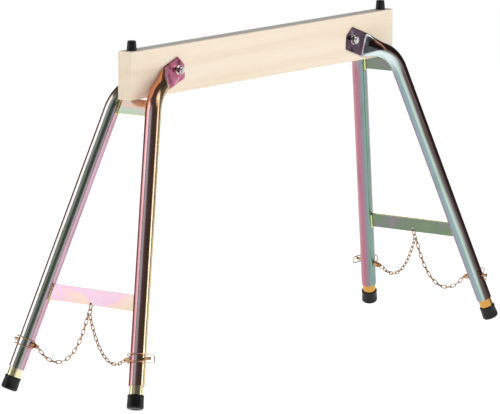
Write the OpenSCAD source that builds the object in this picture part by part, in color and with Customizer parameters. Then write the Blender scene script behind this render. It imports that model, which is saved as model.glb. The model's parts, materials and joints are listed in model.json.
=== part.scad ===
// Folding sawhorse: a timber beam on two folding tube frames, each with two telescopic legs
// that are held by lock pins on chains. X runs along the beam, Z is up and the floor is z = 0.

/* [Beam] */
// Length of the timber beam
beam_l = 1100; // [900:10:1400]
// Height of the beam's section
beam_h = 120; // [100:1:140]
// Thickness of the beam's section
beam_t = 40; // [36:1:50]
// Height of the beam's top above the floor with the legs run in
beam_top = 836; // [780:1:900]
// Rounding of the beam's long edges
beam_round = 2.5; // [1:0.5:5]

/* [Pivots] */
// Distance of each pivot from the end of the beam
pivot_inset = 182.5; // [150:0.5:250]
// Distance of the pivots below the top of the beam
pivot_drop = 62.5; // [50:0.5:70]
// Radius of the pivot bolt's shank
bolt_r = 6; // [5:0.5:8]

/* [Frames] */
// Lean of a frame's plane from upright, along the beam
leg_lean = 19.5; // [15:0.5:22]
// Splay of a leg inside its frame's plane
leg_splay = 10.5; // [8:0.5:13]
// Slope of the flattened leg end below level
plate_tilt = 19.3; // [15:0.1:24]
// Outer radius of the leg tube
tube_r = 20; // [18:0.5:22]
// Wall of the leg tube
tube_wall = 2; // [1.5:0.5:3]
// Width of the flattened leg end
plate_w = 62; // [56:1:66]
// Distance from the pivot to the fold where the tube leaves the beam
fold_at = 48; // [44:1:60]
// Length of tube from the fold to the knee of its bend
knee_run = 104; // [98:1:130]
// Distance of the tube's axis out of the flattened end's plane
tube_offset = 5; // [3:0.5:8]
// Centre-line radius of the bend
bend_r = 90; // [70:1:95]
// Width of the flat crossbars
bar_w = 40; // [30:1:45]
// Thickness of the flat crossbars
bar_t = 5; // [4:0.5:6]
// Distance of the lower crossbar from the foot, along the leg
lower_bar_up = 258; // [220:1:320]

/* [Telescopic legs] */
// Outer radius of the inner tube
inner_r = 17.5; // [17:0.25:17.5]
// Wall of the inner tube
inner_wall = 2; // [1.5:0.5:3]
// Top of the inner tube above the foot's underside, along the leg
inner_top = 560; // [520:5:600]
// Lower end of the leg tube above the foot's underside
tube_end_up = 56; // [50:1:70]
// Height of the lock pin above the foot's underside
pin_up = 123; // [110:1:140]
// Distance between the lock holes of the inner tube
hole_pitch = 50; // [40:5:60]
// Number of lock holes
hole_count = 7; // [5:1:8]
// Outer radius of the rubber foot near the floor
foot_r = 21; // [20:0.5:24]
// Outer radius of the rubber foot at its upper rim
foot_top_r = 19.8; // [19:0.1:20]
// Height of the rubber foot
foot_h = 34; // [28:1:40]

/* [Lock pins and chains] */
// Radius of the lock pin's shank
pin_r = 4; // [3:0.5:5]
// Diameter of the chain's wire
chain_wire = 2.5; // [2:0.1:3]
// Inside length of a chain link
link_inner = 13.9; // [12:0.1:18]
// Outside width of a chain link
link_w = 10; // [8:0.5:12]
// Number of links in the longer chains
long_chain = 16; // [16:2:20]
// Number of links in the shorter chains
short_chain = 14; // [14:2:18]

/* [Hidden] */
$fn = 48;

wood = [0.93, 0.86, 0.74];
zinc = [0.80, 0.70, 0.45];
black_rubber = [0.08, 0.08, 0.08];
bright_steel = [0.75, 0.75, 0.72];
copper_tint = [0.70, 0.50, 0.32];

slide_gap = 0.35;
face_gap = 0.2;
weld_gap = 0.05;
bend_gap = 0.35;
through = 2;

pivot_x = beam_l / 2 - pivot_inset;
pivot_z = beam_top - pivot_drop;

// The flattened leg end: two walls pressed together, flat on the beam's face
plate_t = 2 * tube_wall;
plate_y = beam_t / 2 + face_gap + plate_t / 2;
plate_out = plate_y + plate_t / 2;

// Angles of the bend and of the fold that turn the flattened end's direction into the leg's
plate_to_leg = leg_lean + plate_tilt;
bend = asin(cos(leg_splay) * cos(plate_to_leg));
fold = asin(sin(leg_splay) / cos(bend));

// The knee is where the leg's axis meets the axis of the tube that comes from the pivot
knee_out = fold_at + knee_run * cos(fold) - tube_offset * sin(fold);
knee_y = plate_y + knee_run * sin(fold) + tube_offset * cos(fold);
knee_down = knee_out * sin(plate_to_leg);
leg_offset = knee_out * cos(plate_to_leg);
bend_reach = bend_r * tan(bend / 2);
bend_from = knee_run - bend_reach;
bend_len = bend_r * bend * PI / 180;
round_at = bend_from - 4;
tube_sides = 32;
tube_over = 0.08;
press_steps = 7;
bend_steps = 7;
hollow_from = 4;
bend_tail = 0.5;
flat_squareness = 0.3;
// The flattened end's outline before the pivot: its lower corner, its nose, its upper corner
plate_low = 17;
plate_nose = [-26.5, 3];
plate_high = 9.5;
plate_lap = 1.2;
plate_lap_inset = 0.5;

// The foot's middle stands above the floor by what its tilted rim reaches below it
foot_edge = 5;
foot_tilt = acos(cos(leg_lean) * cos(leg_splay));
foot_rise = (foot_r - foot_edge) * sin(foot_tilt) + foot_edge * (1 - cos(foot_tilt));
foot_down = (pivot_z - foot_rise + leg_offset * sin(leg_lean)) / cos(leg_lean);
foot_y = knee_y + (foot_down - knee_down) * tan(leg_splay);
leg_run = (foot_down - knee_down) / cos(leg_splay);

// Crossbars, measured down the frame's plane from the pivot
under_beam = beam_h - pivot_drop + face_gap;
upper_bar_down = (under_beam + (leg_offset + bar_t / 2) * sin(leg_lean)) / cos(leg_lean)
    + bar_w / 2;
lower_bar_down = foot_down - lower_bar_up * cos(leg_splay);
eye_hole_r = 4;
eye_hole_up = 7;
eye_down = lower_bar_down + bar_w / 2 - eye_hole_up;

// Washer, nut and head sizes of the pivot bolt
washer_r = 12;
washer_t = 2.5;
nut_flats = 19;
nut_t = 10;
head_t = 7.5;
bolt_end = 3;
nut_at = plate_out + face_gap + washer_t;

// Stops on the beam's top
stop_inset = 28;
stop_r = 12.4;
stop_top_r = 10.8;
stop_h = 25;
stop_round = 3;
seat_depth = 1;
seat_r = 13.2;
screw_r = 2.5;
screw_head_r = 4.5;
screw_head_h = 3;
screw_head_up = 14;
screw_l = 42;
screw_hole_l = 32;

// Lock pin, along its own axis: the leg's axis is 0 and the inner side is positive
pin_tip = -37;
pin_chamfer = 1;
head_r = 6.5;
head_from = tube_r + 0.8;
head_to = 33;
tab_t = 4;
tab_r = 5;
ring_hole_y = 38;
ring_hole_r = 1.8;
ring_r = 7;
ring_wire_r = 1;
ring_droop = 25;

// Wire bail that turns on the pin's head and closes over the pin's tip
bail_wire_r = 1.25;
bail_half = 9.5;
bail_y = 27;
bail_r = 27;
bail_end = [-15, -38];
bail_far = norm(bail_end);
bail_turn = atan2(bail_end.y, bail_end.x) + acos(bail_r / bail_far);
bail_arc = bail_r * (90 - bail_turn) * PI / 180;
bail_len = bail_arc + sqrt(bail_far * bail_far - bail_r * bail_r);
bail_bow = 4;
bail_stub_end = 4.6;
bail_hole_end = 4.2;

// Link through the crossbar, and the wider link on it that both chains hang from
eye_inner = 15;
eye_wire_r = 1.5;
eye_w = 13;
shared_w = 13;
eye_top = -eye_down - 1.5;
eye_low = eye_top - eye_inner - 2 * eye_wire_r;
shared_top = eye_low + eye_wire_r + chain_wire / 2 + 0.15;
shared_low = shared_top - link_inner - chain_wire;
link_slack = 0.4;
link_step = link_inner - link_slack;
// Where a chain's first link hangs in the shared link, and its last one in the pin's ring
first_hang = [0, -2.2, 3.75];
last_hang = [0, -1.3, 0.8];

// ---- Places

module to_side(side) {
    if (side == "left") mirror([1, 0, 0]) children();
    else children();
}

module to_row(row) {
    if (row == "back") mirror([0, 1, 0]) children();
    else children();
}

module corner(side, row) to_side(side) to_row(row) children();

// The flattened end's own axes: X away from the pivot, Z across the plate, -Y off the beam
module on_plate() {
    translate([pivot_x, -plate_y, pivot_z])
        rotate([0, plate_tilt, 0])
            children();
}

module past_fold() {
    on_plate()
        translate([fold_at, 0, 0])
            rotate([0, 0, -fold])
                children();
}

// The frame's own axes: X off the frame's plane, Z up the frame, the pivot is the origin
module in_frame() {
    translate([pivot_x, 0, pivot_z])
        rotate([0, -leg_lean, 0])
            children();
}

// The leg's own axes: Z up the leg from the foot's underside, Y to the inner side
module along_leg() {
    in_frame()
        translate([leg_offset, -foot_y, -foot_down])
            rotate([-leg_splay, 0, 0])
                children();
}

module at_pin() along_leg() translate([0, 0, pin_up]) children();

function frame_to_world(p) = [
    pivot_x + p.x * cos(leg_lean) - p.z * sin(leg_lean),
    p.y,
    pivot_z + p.x * sin(leg_lean) + p.z * cos(leg_lean)
];

function leg_to_world(p) = frame_to_world([
    leg_offset + p.x,
    -foot_y + p.y * cos(leg_splay) + p.z * sin(leg_splay),
    -foot_down - p.y * sin(leg_splay) + p.z * cos(leg_splay)
]);

// ---- Shapes used more than once

module rod_y(r, from, to) {
    translate([0, to, 0])
        rotate([90, 0, 0])
            cylinder(r = r, h = to - from);
}

module tube(r, wall, h) {
    difference() {
        cylinder(r = r, h = h);
        translate([0, 0, -through]) cylinder(r = r - wall, h = h + 2 * through);
    }
}

// Rounded wire loop in the XZ plane, long way along X
module wire_loop(inner, width, wire_r) {
    bow_r = width / 2 - wire_r;
    half = (inner + 2 * wire_r) / 2 - bow_r;
    for (end = [0, 180])
        rotate([0, end, 0])
            translate([half, 0, 0])
                rotate([90, 0, 0])
                    rotate([0, 0, -90])
                        rotate_extrude(angle = 180, $fn = 32)
                            translate([bow_r, 0]) circle(r = wire_r, $fn = 16);
    for (side = [-1, 1])
        translate([-half, 0, side * bow_r])
            rotate([0, 90, 0])
                cylinder(r = wire_r, h = 2 * half, $fn = 16);
}

// ---- Beam and what is fixed to it

module beam_section() {
    square([beam_t, beam_h - 2 * beam_round], center = true);
    square([beam_t - 2 * beam_round, beam_h], center = true);
    for (x = [-1, 1], y = [-1, 1])
        translate([x * (beam_t / 2 - beam_round), y * (beam_h / 2 - beam_round)])
            circle(r = beam_round, $fn = 32);
}

module beam() {
    color(wood)
        difference() {
            translate([-beam_l / 2, 0, beam_top - beam_h / 2])
                rotate([90, 0, 90])
                    linear_extrude(beam_l) beam_section();
            for (x = [-pivot_x, pivot_x])
                translate([x, 0, pivot_z])
                    rod_y(bolt_r + 0.3, -beam_t / 2 - through, beam_t / 2 + through);
            for (x = [-1, 1])
                translate([x * (beam_l / 2 - stop_inset), 0, beam_top]) {
                    translate([0, 0, -seat_depth]) cylinder(r = seat_r, h = seat_depth + through);
                    translate([0, 0, -screw_hole_l])
                        cylinder(r = screw_r + 0.1, h = screw_hole_l + through);
                }
        }
}

module top_stops() {
    color(black_rubber)
        for (x = [-1, 1])
            translate([x * (beam_l / 2 - stop_inset), 0, beam_top - seat_depth])
                difference() {
                    rotate_extrude() {
                        polygon([
                            [0, 0], [stop_r, 0],
                            [stop_top_r, stop_h - stop_round], [0, stop_h - stop_round]
                        ]);
                        square([stop_top_r - stop_round, stop_h]);
                        translate([stop_top_r - stop_round, stop_h - stop_round])
                            circle(r = stop_round, $fn = 32);
                    }
                    translate([0, 0, -through])
                        cylinder(r = screw_r + 0.2, h = stop_h + 2 * through);
                    translate([0, 0, screw_head_up])
                        cylinder(r = screw_head_r + 0.5, h = stop_h);
                }
}

module stop_screws() {
    color(bright_steel)
        for (x = [-1, 1])
            translate([
                x * (beam_l / 2 - stop_inset), 0, beam_top - seat_depth + screw_head_up
            ]) {
                cylinder(r = screw_head_r, h = screw_head_h);
                translate([0, 0, 1 - screw_l]) cylinder(r = screw_r, h = screw_l);
            }
}

module hexagon(flats, h) cylinder(r = flats / 2 / cos(30), h = h, $fn = 6);

module pivot_bolts() {
    color(bright_steel)
        for (x = [-pivot_x, pivot_x])
            translate([x, 0, pivot_z]) {
                rod_y(bolt_r, -nut_at - nut_t - bolt_end, nut_at);
                translate([0, nut_at + head_t, 0]) rotate([90, 0, 0]) hexagon(nut_flats, head_t);
            }
}

module pivot_washers() {
    color(bright_steel)
        for (x = [-pivot_x, pivot_x], face = [-nut_at, nut_at - washer_t])
            translate([x, face, pivot_z])
                rotate([-90, 0, 0])
                    tube(washer_r, washer_r - bolt_r - 0.3, washer_t);
}

module pivot_nuts() {
    color(bright_steel)
        for (x = [-pivot_x, pivot_x])
            translate([x, -nut_at, pivot_z])
                rotate([90, 0, 0])
                    difference() {
                        hexagon(nut_flats, nut_t);
                        translate([0, 0, -through])
                            cylinder(r = bolt_r + 0.05, h = nut_t + 2 * through);
                    }
}

// ---- Folding frames

module flattened_end() {
    on_plate()
        difference() {
            translate([0, plate_t / 2, 0])
                rotate([90, 0, 0])
                    linear_extrude(plate_t)
                        polygon([
                            [-plate_low, -plate_w / 2], plate_nose, [-plate_high, plate_w / 2],
                            [fold_at, plate_w / 2], [fold_at, -plate_w / 2]
                        ]);
            rod_y(bolt_r + 0.08, -plate_t, plate_t);
        }
}

// The tube's axis past the fold: straight, then round the bend, then a little into the leg
function axis_turn(s) = min(max(s - bend_from, 0) / bend_r * 180 / PI, bend);
function axis_point(s) =
    let (turn = axis_turn(s), past = max(s - bend_from - bend_len, 0))
    [
        min(s, bend_from) + bend_r * sin(turn) + past * cos(bend),
        -bend_r * (1 - cos(turn)) - past * sin(bend)
    ];

// One ring of points round the axis: a pressed flat outline that swells to a full circle
function power(x, p) = sign(x) * pow(abs(x), p);
function tube_ring(s, thinner) =
    let (
        t = min(max(s, 0) / round_at, 1),
        swell = t * t * (3 - 2 * t),
        wide = plate_w / 2 + (tube_r - plate_w / 2) * swell + tube_over - thinner,
        thick = plate_t / 2 + (tube_r + tube_over - plate_t / 2) * swell - thinner,
        squareness = flat_squareness + (1 - flat_squareness) * sqrt(t),
        turn = axis_turn(s),
        at = axis_point(s)
    )
    [for (k = [0 : tube_sides - 1])
        let (
            across = wide * power(cos(360 * k / tube_sides), squareness),
            out = thick * power(sin(360 * k / tube_sides), squareness)
        )
        [at.x + across * sin(turn), out - tube_offset * swell, at.y + across * cos(turn)]
    ];

// Hollow from the leg up to where the walls have come together
module bent_tube() {
    last = bend_from + bend_len + bend_tail;
    pressed = [for (i = [0 : press_steps]) round_at * i / press_steps];
    bent = [for (i = [0 : bend_steps]) bend_from + bend_len * i / bend_steps];
    outer = concat(
        [tube_ring(-plate_lap, plate_lap_inset)],
        [for (s = concat(pressed, bent, [last])) tube_ring(s, 0)]
    );
    bore = [
        for (s = concat(
            [last],
            [for (i = [bend_steps : -1 : 0]) bent[i]],
            [for (i = [press_steps : -1 : hollow_from]) pressed[i]]
        )) tube_ring(s, tube_wall + 2 * tube_over)
    ];
    rings = concat(outer, bore);
    count = len(rings);
    points = [for (ring = rings) each ring];
    walls = [for (i = [0 : count - 2], k = [0 : tube_sides - 1])
        let (next = (k + 1) % tube_sides, here = i * tube_sides, there = here + tube_sides)
        [here + k, here + next, there + next, there + k]
    ];
    caps = [
        [for (k = [tube_sides - 1 : -1 : 0]) k],
        [for (k = [0 : tube_sides - 1]) (count - 1) * tube_sides + k]
    ];
    past_fold() polyhedron(points, concat(walls, caps), convexity = 6);
}

module leg_tube() {
    color(zinc) {
        flattened_end();
        bent_tube();
        difference() {
            along_leg()
                translate([0, 0, tube_end_up])
                    tube(tube_r, tube_wall, leg_run - bend_reach - tube_end_up);
            at_pin() rod_y(pin_r + slide_gap, -tube_r - through, tube_r + through);
        }
    }
}

// Solid round bar along the tube's bend
module round_bend(r) {
    past_fold()
        translate([bend_from, -tube_offset, -bend_r])
            rotate([90, 0, 0])
                rotate([0, 0, 90 - bend])
                    rotate_extrude(angle = bend)
                        translate([bend_r, 0]) circle(r = r);
}

// Flat bar in the frame's plane, its ends cut to the legs' round
module crossbar(down) {
    reach = foot_y - (foot_down - down) * tan(leg_splay);
    difference() {
        in_frame()
            translate([leg_offset - bar_t / 2, -reach, -down - bar_w / 2])
                cube([bar_t, 2 * reach, bar_w]);
        for (row = ["front", "back"])
            to_row(row) {
                along_leg() cylinder(r = tube_r + weld_gap, h = leg_run - bend_reach);
                along_leg()
                    translate([0, 0, leg_run - bend_reach - bend_tail - 1])
                        cylinder(r = tube_r + bend_gap, h = bend_tail + 1);
                round_bend(tube_r + bend_gap);
            }
    }
}

module upper_bar() color(zinc) crossbar(upper_bar_down);

module lower_bar() {
    color(zinc)
        difference() {
            crossbar(lower_bar_down);
            in_frame()
                translate([leg_offset - bar_t, 0, -eye_down])
                    rotate([0, 90, 0])
                        cylinder(r = eye_hole_r, h = 2 * bar_t, $fn = 32);
        }
}

// ---- Telescopic legs

module inner_tube() {
    floor_t = 8;
    color(zinc)
        along_leg()
            difference() {
                translate([0, 0, floor_t]) tube(inner_r, inner_wall, inner_top - floor_t);
                for (i = [0 : hole_count - 1])
                    translate([0, 0, pin_up + i * hole_pitch])
                        rod_y(pin_r + slide_gap, -inner_r - through, inner_r + through);
            }
}

module foot() {
    floor_t = 7.9;
    color(black_rubber)
        along_leg()
            rotate_extrude($fn = 64)
                difference() {
                    union() {
                        polygon([
                            [0, foot_edge], [foot_r, foot_edge], [foot_top_r, foot_h], [0, foot_h]
                        ]);
                        square([foot_r - foot_edge, foot_edge]);
                        translate([foot_r - foot_edge, foot_edge])
                            circle(r = foot_edge, $fn = 48);
                    }
                    translate([0, floor_t]) square([inner_r + 0.02, foot_h]);
                }
}

// ---- Lock pins

module pin() {
    color(copper_tint)
        at_pin()
            difference() {
                union() {
                    rod_y(pin_r, pin_tip + pin_chamfer, head_from);
                    rod_y(pin_r - pin_chamfer, pin_tip, 0);
                    rod_y(head_r, head_from, head_to);
                    translate([-tab_t / 2, head_to - 1, -tab_r])
                        cube([tab_t, ring_hole_y - head_to + 1, 2 * tab_r]);
                    translate([-tab_t / 2, ring_hole_y, 0])
                        rotate([0, 90, 0])
                            cylinder(r = tab_r, h = tab_t);
                }
                translate([-tab_t, ring_hole_y, 0])
                    rotate([0, 90, 0])
                        cylinder(r = ring_hole_r, h = 2 * tab_t, $fn = 24);
                for (z = [-head_r - through, bail_hole_end])
                    translate([0, bail_y, z])
                        cylinder(
                            r = bail_wire_r + slide_gap, h = head_r + through - bail_hole_end,
                            $fn = 24
                        );
            }
}

module pin_ring() {
    color(copper_tint)
        at_pin()
            translate([0, ring_hole_y, 0])
                rotate([-ring_droop, 0, 0])
                    translate([0, ring_r, 0])
                        rotate_extrude($fn = 48)
                            translate([ring_r, 0]) circle(r = ring_wire_r, $fn = 16);
}

// The bail's side as a curve seen along the leg: round the tube, then straight to its end
function bail_point(s) =
    s < bail_arc ? bail_r * [sin(s / bail_r * 180 / PI), cos(s / bail_r * 180 / PI)]
    : bail_r * [cos(bail_turn), sin(bail_turn)]
        + (s - bail_arc) * [sin(bail_turn), -cos(bail_turn)];

function bail_normal(s) =
    s < bail_arc ? [sin(s / bail_r * 180 / PI), cos(s / bail_r * 180 / PI), 0]
    : [cos(bail_turn), sin(bail_turn), 0];

function corner_points(centre, r, from, to, step) =
    [for (t = [from : step : to]) centre + r * [cos(t), sin(t)]];

module bail() {
    ring_sides = 10;
    upper = concat(
        [[0, bail_stub_end]],
        corner_points([bail_bow / 2, bail_half - bail_bow / 2], bail_bow / 2, 180, 90, -30),
        [for (s = [bail_bow : bail_bow : bail_len - 1.5 * bail_bow]) [s, bail_half]],
        corner_points([bail_len - bail_bow, bail_half - bail_bow], bail_bow, 90, 0, -18)
    );
    half = len(upper);
    route = concat(upper, [for (i = [half - 1 : -1 : 0]) [upper[i].x, -upper[i].y]]);
    points = [for (p = route) [bail_point(p.x).x, bail_point(p.x).y, p.y]];
    last = len(points) - 1;
    rings = [for (i = [0 : last])
        let (
            ahead = points[min(i + 1, last)] - points[max(i - 1, 0)],
            out = bail_normal(route[i].x),
            side = cross(ahead / norm(ahead), out)
        )
        for (k = [0 : ring_sides - 1])
            points[i] + bail_wire_r * (out * cos(360 * k / ring_sides)
                + side * sin(360 * k / ring_sides))
    ];
    walls = [for (i = [0 : last - 1], k = [0 : ring_sides - 1])
        let (next = (k + 1) % ring_sides)
        [
            i * ring_sides + k, i * ring_sides + next,
            (i + 1) * ring_sides + next, (i + 1) * ring_sides + k
        ]
    ];
    caps = [
        [for (k = [ring_sides - 1 : -1 : 0]) k],
        [for (k = [0 : ring_sides - 1]) last * ring_sides + k]
    ];
    color(copper_tint)
        at_pin() polyhedron(rings, concat(walls, caps), convexity = 6);
}

// ---- Chains

function sinh(x) = (exp(x) - exp(-x)) / 2;
function asinh(x) = ln(x + sqrt(x * x + 1));
function atanh(x) = ln((1 + x) / (1 - x)) / 2;

// Parameter of the catenary whose ends are span apart, found by halving the range
function catenary(span, reach, low, high, steps) =
    let (mid = (low + high) / 2)
    steps == 0 ? mid
    : 2 * mid * sinh(span / (2 * mid)) > reach ? catenary(span, reach, mid, high, steps - 1)
    : catenary(span, reach, low, mid, steps - 1);

module eye_link() {
    color(copper_tint)
        in_frame()
            translate([leg_offset, 0, 0]) {
                translate([0, 0, (eye_top + eye_low) / 2])
                    rotate([0, 90, 0])
                        wire_loop(eye_inner, eye_w, eye_wire_r);
                translate([0, 0, (shared_top + shared_low) / 2])
                    rotate([0, 90, 90])
                        wire_loop(link_inner, shared_w, chain_wire / 2);
            }
}

// The links hang on a catenary from the shared link to the pin's ring
module chain(links) {
    from = frame_to_world([leg_offset, 0, shared_low]) + first_hang;
    ring_far = ring_hole_y + 2 * ring_r * cos(ring_droop);
    to = leg_to_world([0, ring_far, pin_up - 2 * ring_r * sin(ring_droop)]) + last_hang;
    length = links * link_step;
    rise = to.z - from.z;
    span = norm([to.x - from.x, to.y - from.y]);
    heading = atan2(to.y - from.y, to.x - from.x);
    a = catenary(span, sqrt(length * length - rise * rise), span / 16, span * 16, 40);
    low_x = span / 2 - a * atanh(rise / length);
    low_s = a * sinh(low_x / a);
    along = [for (i = [0 : links]) low_x + a * asinh((i * link_step - low_s) / a)];
    height = [for (i = [0 : links]) norm([a, i * link_step - low_s]) - norm([a, low_s])];
    color(copper_tint)
        for (i = [0 : links - 1])
            translate(from)
                rotate([0, 0, heading])
                    translate([(along[i] + along[i + 1]) / 2, 0, (height[i] + height[i + 1]) / 2])
                        rotate([0, -atan2(height[i + 1] - height[i], along[i + 1] - along[i]), 0])
                            rotate([(i + 1) % 2 * 90, 0, 0])
                                wire_loop(link_inner, link_w, chain_wire / 2);
}

beam();
top_stops();
stop_screws();
pivot_bolts();
pivot_washers();
pivot_nuts();

corner("left", "front") leg_tube();  // left_front_leg
corner("left", "back") leg_tube();  // left_back_leg
to_side("left") upper_bar();  // left_upper_bar
to_side("left") lower_bar();  // left_lower_bar
to_side("left") eye_link();  // left_eye_link
corner("left", "front") chain(short_chain);  // left_front_chain
corner("left", "back") chain(long_chain);  // left_back_chain

corner("right", "front") leg_tube();  // right_front_leg
corner("right", "back") leg_tube();  // right_back_leg
to_side("right") upper_bar();  // right_upper_bar
to_side("right") lower_bar();  // right_lower_bar
to_side("right") eye_link();  // right_eye_link
corner("right", "front") chain(long_chain);  // right_front_chain
corner("right", "back") chain(short_chain);  // right_back_chain

corner("left", "front") inner_tube();  // left_front_inner_tube
corner("left", "front") foot();  // left_front_foot
corner("left", "back") inner_tube();  // left_back_inner_tube
corner("left", "back") foot();  // left_back_foot
corner("right", "front") inner_tube();  // right_front_inner_tube
corner("right", "front") foot();  // right_front_foot
corner("right", "back") inner_tube();  // right_back_inner_tube
corner("right", "back") foot();  // right_back_foot

corner("left", "front") pin();  // left_front_pin
corner("left", "front") pin_ring();  // left_front_pin_ring
corner("left", "front") bail();  // left_front_bail
corner("left", "back") pin();  // left_back_pin
corner("left", "back") pin_ring();  // left_back_pin_ring
corner("left", "back") bail();  // left_back_bail
corner("right", "front") pin();  // right_front_pin
corner("right", "front") pin_ring();  // right_front_pin_ring
corner("right", "front") bail();  // right_front_bail
corner("right", "back") pin();  // right_back_pin
corner("right", "back") pin_ring();  // right_back_pin_ring
corner("right", "back") bail();  // right_back_bail
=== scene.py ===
import json
import math
import random

import bmesh
import bpy
from mathutils import Matrix, Vector

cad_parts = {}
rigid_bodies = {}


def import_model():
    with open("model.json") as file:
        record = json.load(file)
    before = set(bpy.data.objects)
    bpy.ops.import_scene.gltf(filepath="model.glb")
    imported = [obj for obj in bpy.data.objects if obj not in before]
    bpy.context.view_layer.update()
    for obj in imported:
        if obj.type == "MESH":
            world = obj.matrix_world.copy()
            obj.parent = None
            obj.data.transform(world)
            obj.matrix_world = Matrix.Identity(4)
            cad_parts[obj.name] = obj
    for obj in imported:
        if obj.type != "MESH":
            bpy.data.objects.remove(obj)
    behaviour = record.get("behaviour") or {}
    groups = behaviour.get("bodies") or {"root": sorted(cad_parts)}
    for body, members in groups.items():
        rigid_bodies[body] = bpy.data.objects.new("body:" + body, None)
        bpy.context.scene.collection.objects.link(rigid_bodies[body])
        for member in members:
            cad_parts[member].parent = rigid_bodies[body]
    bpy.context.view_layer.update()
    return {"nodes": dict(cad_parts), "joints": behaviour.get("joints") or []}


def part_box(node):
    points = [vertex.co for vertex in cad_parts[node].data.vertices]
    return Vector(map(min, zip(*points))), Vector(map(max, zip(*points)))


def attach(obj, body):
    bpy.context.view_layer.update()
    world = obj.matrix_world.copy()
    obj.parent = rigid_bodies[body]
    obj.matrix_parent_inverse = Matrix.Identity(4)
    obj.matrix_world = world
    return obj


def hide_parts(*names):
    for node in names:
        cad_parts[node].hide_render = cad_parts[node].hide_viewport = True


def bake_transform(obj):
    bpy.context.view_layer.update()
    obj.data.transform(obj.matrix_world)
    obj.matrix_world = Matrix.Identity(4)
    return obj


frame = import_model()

nodes = frame["nodes"]
joints = {joint["name"]: joint for joint in frame["joints"]}
sides = ("left", "right")
rows = ("front", "back")
corners = [(side, row) for side in sides for row in rows]

# ---- The steel's sizes, in metres and degrees, the same as the frame's

steel = {
    "lean": 19.5, "splay": 10.5, "plateTilt": 19.3,
    "tubeRadius": 0.020, "wall": 0.0018, "plateWidth": 0.062, "plateThick": 0.004,
    "foldAt": 0.048, "kneeRun": 0.104, "tubeOffset": 0.005, "bendRadius": 0.090,
    "faceGap": 0.0002, "barWidth": 0.040, "barThick": 0.005, "pivotDrop": 0.0625,
    "lowerBarUp": 0.258, "tubeEndUp": 0.056, "pinUp": 0.123,
    "footRadius": 0.021, "footEdge": 0.005,
}

beamLow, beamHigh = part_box("beam")
beamThick = beamHigh.y - beamLow.y
pivot = Vector(joints["right_frame_fold"]["pos_m"])

lean = math.radians(steel["lean"])
splay = math.radians(steel["splay"])
plateTilt = math.radians(steel["plateTilt"])
bend = math.asin(math.cos(splay) * math.cos(lean + plateTilt))
fold = math.asin(math.sin(splay) / math.cos(bend))

plateY = beamThick / 2 + steel["faceGap"] + steel["plateThick"] / 2
kneeOut = (steel["foldAt"] + steel["kneeRun"] * math.cos(fold)
           - steel["tubeOffset"] * math.sin(fold))
kneeY = plateY + steel["kneeRun"] * math.sin(fold) + steel["tubeOffset"] * math.cos(fold)
kneeDown = kneeOut * math.sin(lean + plateTilt)
legOffset = kneeOut * math.cos(lean + plateTilt)
bendReach = steel["bendRadius"] * math.tan(bend / 2)
bendFrom = steel["kneeRun"] - bendReach
bendLength = steel["bendRadius"] * bend

footTilt = math.acos(math.cos(lean) * math.cos(splay))
footRise = ((steel["footRadius"] - steel["footEdge"]) * math.sin(footTilt)
            + steel["footEdge"] * (1 - math.cos(footTilt)))
footDown = (pivot.z - footRise + legOffset * math.sin(lean)) / math.cos(lean)
footY = kneeY + (footDown - kneeDown) * math.tan(splay)
legRun = (footDown - kneeDown) / math.cos(splay)

underBeam = beamHigh.z - beamLow.z - steel["pivotDrop"] + steel["faceGap"]
upperBarDown = ((underBeam + (legOffset + steel["barThick"] / 2) * math.sin(lean)) / math.cos(lean)
                + steel["barWidth"] / 2)
lowerBarDown = footDown - steel["lowerBarUp"] * math.cos(splay)

# Places at the right front corner: the pressed plate, the tube past its fold, the frame, the leg
onPlate = Matrix.Translation((pivot.x, -plateY, pivot.z)) @ Matrix.Rotation(plateTilt, 4, "Y")
pastFold = (onPlate @ Matrix.Translation((steel["foldAt"], 0, 0))
            @ Matrix.Rotation(-fold, 4, "Z"))
inFrame = Matrix.Translation(pivot) @ Matrix.Rotation(-lean, 4, "Y")
alongLeg = (inFrame @ Matrix.Translation((legOffset, -footY, -footDown))
            @ Matrix.Rotation(-splay, 4, "X"))
nowhere = Matrix.Identity(4)


def toCorner(side, row="front"):  # mirrors the right front corner onto another one
    across = -1 if side == "left" else 1
    along = -1 if row == "back" else 1
    return Matrix.Diagonal((across, along, 1, 1))


# ---- Ways of working

def takeUp(piece):  # this piece alone is selected and active
    if bpy.context.mode != "OBJECT":
        bpy.ops.object.mode_set(mode="OBJECT")
    for thing in bpy.context.scene.objects:
        thing.select_set(False)
    piece.select_set(True)
    bpy.context.view_layer.objects.active = piece


def begin(name):  # takes over the primitive that was just added
    piece = bpy.context.object
    takeUp(piece)
    piece.name = name
    piece.data.name = name
    bpy.ops.object.transform_apply(location=True, rotation=True, scale=True)
    return piece


def settle(piece, place):  # moves a finished shape to its place, and keeps its faces outwards
    takeUp(piece)
    piece.matrix_world = place
    bpy.ops.object.transform_apply(location=True, rotation=True, scale=True)
    if place.determinant() < 0:
        faceOutwards(piece)
    return piece


def faceOutwards(piece):
    shape = bmesh.new()
    shape.from_mesh(piece.data)
    insideOut = shape.calc_volume(signed=True) < 0
    shape.free()
    if insideOut:
        takeUp(piece)
        bpy.ops.object.mode_set(mode="EDIT")
        bpy.ops.mesh.select_all(action="SELECT")
        bpy.ops.mesh.flip_normals()
        bpy.ops.object.mode_set(mode="OBJECT")


def pick(piece, kind, wanted):  # goes to edit mode with only what the test wants selected
    bpy.ops.object.mode_set(mode="EDIT")
    bpy.ops.mesh.select_mode(type=kind)
    bpy.ops.mesh.select_all(action="DESELECT")
    bpy.ops.object.mode_set(mode="OBJECT")
    parts = piece.data.vertices if kind == "VERT" else piece.data.polygons
    for part in parts:
        part.select = wanted(part)
    bpy.ops.object.mode_set(mode="EDIT")


def pull(step):
    bpy.ops.mesh.extrude_region_move(TRANSFORM_OT_translate={"value": step})


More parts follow.
